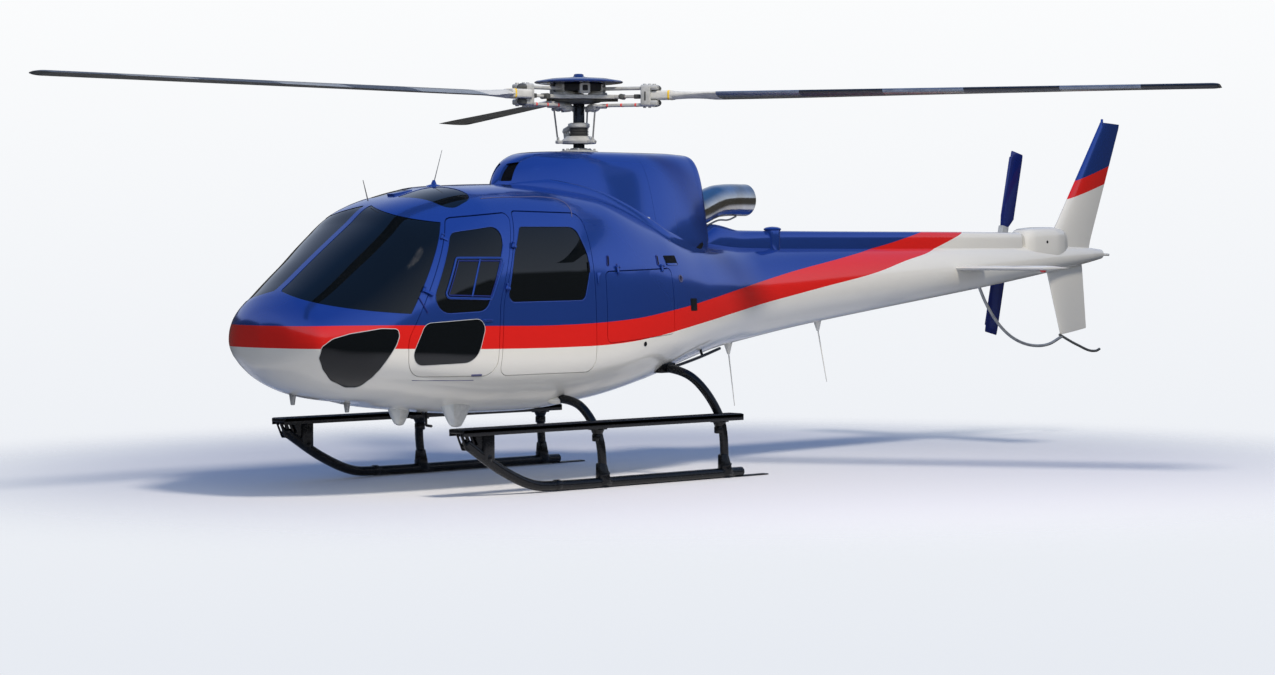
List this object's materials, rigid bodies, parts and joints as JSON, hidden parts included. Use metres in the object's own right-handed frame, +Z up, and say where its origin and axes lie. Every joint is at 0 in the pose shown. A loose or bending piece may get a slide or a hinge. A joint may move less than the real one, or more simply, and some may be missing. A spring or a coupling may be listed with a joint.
{
  "type": "light single-engine helicopter",
  "caption": "Light helicopter on landing skids, with turning main and tail rotors, hinged cabin and baggage doors, tail boom, fins and stabiliser.",
  "frame": {"origin": "on the ground under the middle of the whole machine's box; the rotor mast stands at x = 1.10", "axes": "+X forward along the length, +Y to port, +Z up; the plane y = 0 is the machine's middle"},
  "size_m": [12.885, 9.4128, 3.3978],
  "materials": {
    "upper_hull": "gloss",
    "lower_hull": "gloss",
    "boom_skin": "gloss",
    "glazing": "gloss",
    "cabin_trim": "matte",
    "seat_cloth": "matte",
    "castings": "satin",
    "hub_grey": "satin",
    "cap_blue": "gloss",
    "exhaust_steel": "polished",
    "mast_steel": "satin",
    "grey_tube": "satin",
    "black_tube": "satin",
    "black_board": "satin",
    "blade_skin": "satin"
  },
  "bodies": {
    "airframe": {"nose_and_belly": "lower_hull", "canopy_frame": "upper_hull", "rear_fuselage": "upper_hull", "cabin_floor": "cabin_trim", "front_seat_left": "seat_cloth", "front_seat_right": "seat_cloth", "rear_bench": "seat_cloth", "instrument_console": "cabin_trim", "windscreen_left": "glazing", "windscreen_right": "glazing", "chin_window_left": "glazing", "chin_window_right": "glazing", "skylight_left": "glazing", "skylight_right": "glazing", "gearbox_cowling": "upper_hull", "engine_cowling": "upper_hull", "rotor_gearbox": "castings", "engine_block": "castings", "exhaust_pipe": "exhaust_steel", "tail_boom": "boom_skin", "drive_shaft_cover": "upper_hull", "tail_gearbox": "upper_hull", "upper_fin": "upper_hull", "lower_fin": "lower_hull", "stabiliser": "lower_hull", "tail_guard": "grey_tube", "landing_skid_left": "black_tube", "landing_skid_right": "black_tube", "footboard_left": "black_board", "footboard_right": "black_board", "front_cross_tube": "black_tube", "rear_cross_tube": "black_tube", "mast_collar": "castings"},
    "main_rotor": {"rotor_mast": "mast_steel", "rotor_star": "hub_grey", "rotor_cap": "cap_blue", "rotating_swashplate": "castings", "blade_sleeve_1": "hub_grey", "blade_sleeve_2": "hub_grey", "blade_sleeve_3": "hub_grey", "main_blade_1": "blade_skin", "main_blade_2": "blade_skin", "main_blade_3": "blade_skin"},
    "tail_rotor": {"tail_rotor_hub": "castings", "tail_rotor_blade_1": "cap_blue", "tail_rotor_blade_2": "cap_blue"},
    "door_front_left": {"front_door_left": "upper_hull", "front_door_left_upper_window": "glazing", "front_door_left_lower_window": "glazing"},
    "door_front_right": {"front_door_right": "upper_hull", "front_door_right_upper_window": "glazing", "front_door_right_lower_window": "glazing"},
    "door_rear_left": {"rear_door_left": "upper_hull", "rear_door_left_upper_window": "glazing"},
    "door_rear_right": {"rear_door_right": "upper_hull", "rear_door_right_upper_window": "glazing"},
    "lid_baggage_left": {"baggage_door_left": "upper_hull"},
    "lid_baggage_right": {"baggage_door_right": "upper_hull"}
  },
  "joints": [
    {"name": "main_rotor_turn", "type": "hinge", "parent": "airframe", "child": "main_rotor", "pos_m": [1.1, 0, 3.2], "axis": [0, 0, 1], "continuous": true},
    {"name": "tail_rotor_turn", "type": "hinge", "parent": "airframe", "child": "tail_rotor", "pos_m": [-5.1, -0.45, 1.97], "axis": [0, 1, 0], "continuous": true},
    {"name": "front_door_left_open", "type": "hinge", "parent": "airframe", "child": "door_front_left", "pos_m": [3.269, 0.764, 2.011], "axis": [0.5398, 0.2079, -0.8157], "range_deg": [0, 75]},
    {"name": "front_door_right_open", "type": "hinge", "parent": "airframe", "child": "door_front_right", "pos_m": [3.269, -0.764, 2.011], "axis": [-0.5398, 0.2079, 0.8157], "range_deg": [0, 75]},
    {"name": "rear_door_left_open", "type": "hinge", "parent": "airframe", "child": "door_rear_left", "pos_m": [2.632, 0.88, 1.942], "axis": [0.321, 0.1534, -0.9346], "range_deg": [0, 75]},
    {"name": "rear_door_right_open", "type": "hinge", "parent": "airframe", "child": "door_rear_right", "pos_m": [2.632, -0.88, 1.942], "axis": [-0.321, 0.1534, 0.9346], "range_deg": [0, 75]},
    {"name": "baggage_door_left_open", "type": "hinge", "parent": "airframe", "child": "lid_baggage_left", "pos_m": [0.915, 0.808, 1.774], "axis": [0.9892, 0.1465, -0.01], "range_deg": [0, 90]},
    {"name": "baggage_door_right_open", "type": "hinge", "parent": "airframe", "child": "lid_baggage_right", "pos_m": [0.915, -0.808, 1.774], "axis": [-0.9892, 0.1465, 0.01], "range_deg": [0, 90]}
  ]
}
